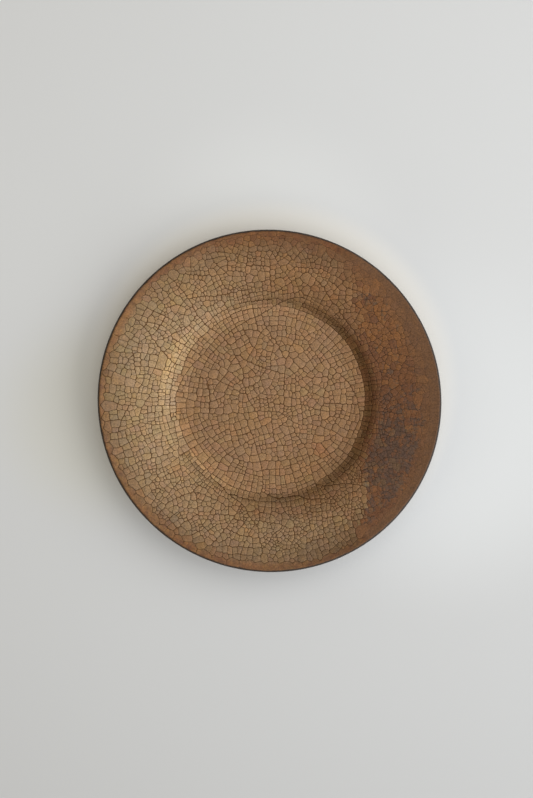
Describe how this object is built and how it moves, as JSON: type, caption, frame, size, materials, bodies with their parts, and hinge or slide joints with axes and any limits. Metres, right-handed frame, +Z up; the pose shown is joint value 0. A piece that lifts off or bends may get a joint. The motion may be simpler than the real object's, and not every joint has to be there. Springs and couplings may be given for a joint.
{
  "type": "rimmed plate",
  "caption": "Round wide-rimmed stoneware plate with a shallow well, a crackled bronze glaze, a dark iron lip and a turned foot ring",
  "frame": {"origin": "Centre of the foot ring on the plane that the plate stands on", "axes": "+Z is up, out of the well, and is the axis that every piece is turned about"},
  "size_m": [0.24, 0.24, 0.0265],
  "materials": {
    "dark_stoneware": "matte, unglazed",
    "rust_ground": "satin",
    "bronze_crackle": "satin, raised crackle",
    "iron_lip": "satin",
    "brown_back": "satin"
  },
  "bodies": {
    "root": {"clay_body": "dark_stoneware", "foot_ring": "dark_stoneware", "ground_glaze": "rust_ground", "crackle_glaze": "bronze_crackle", "lip_band": "iron_lip", "back_glaze": "brown_back", "base_glaze": "brown_back"}
  },
  "joints": []
}
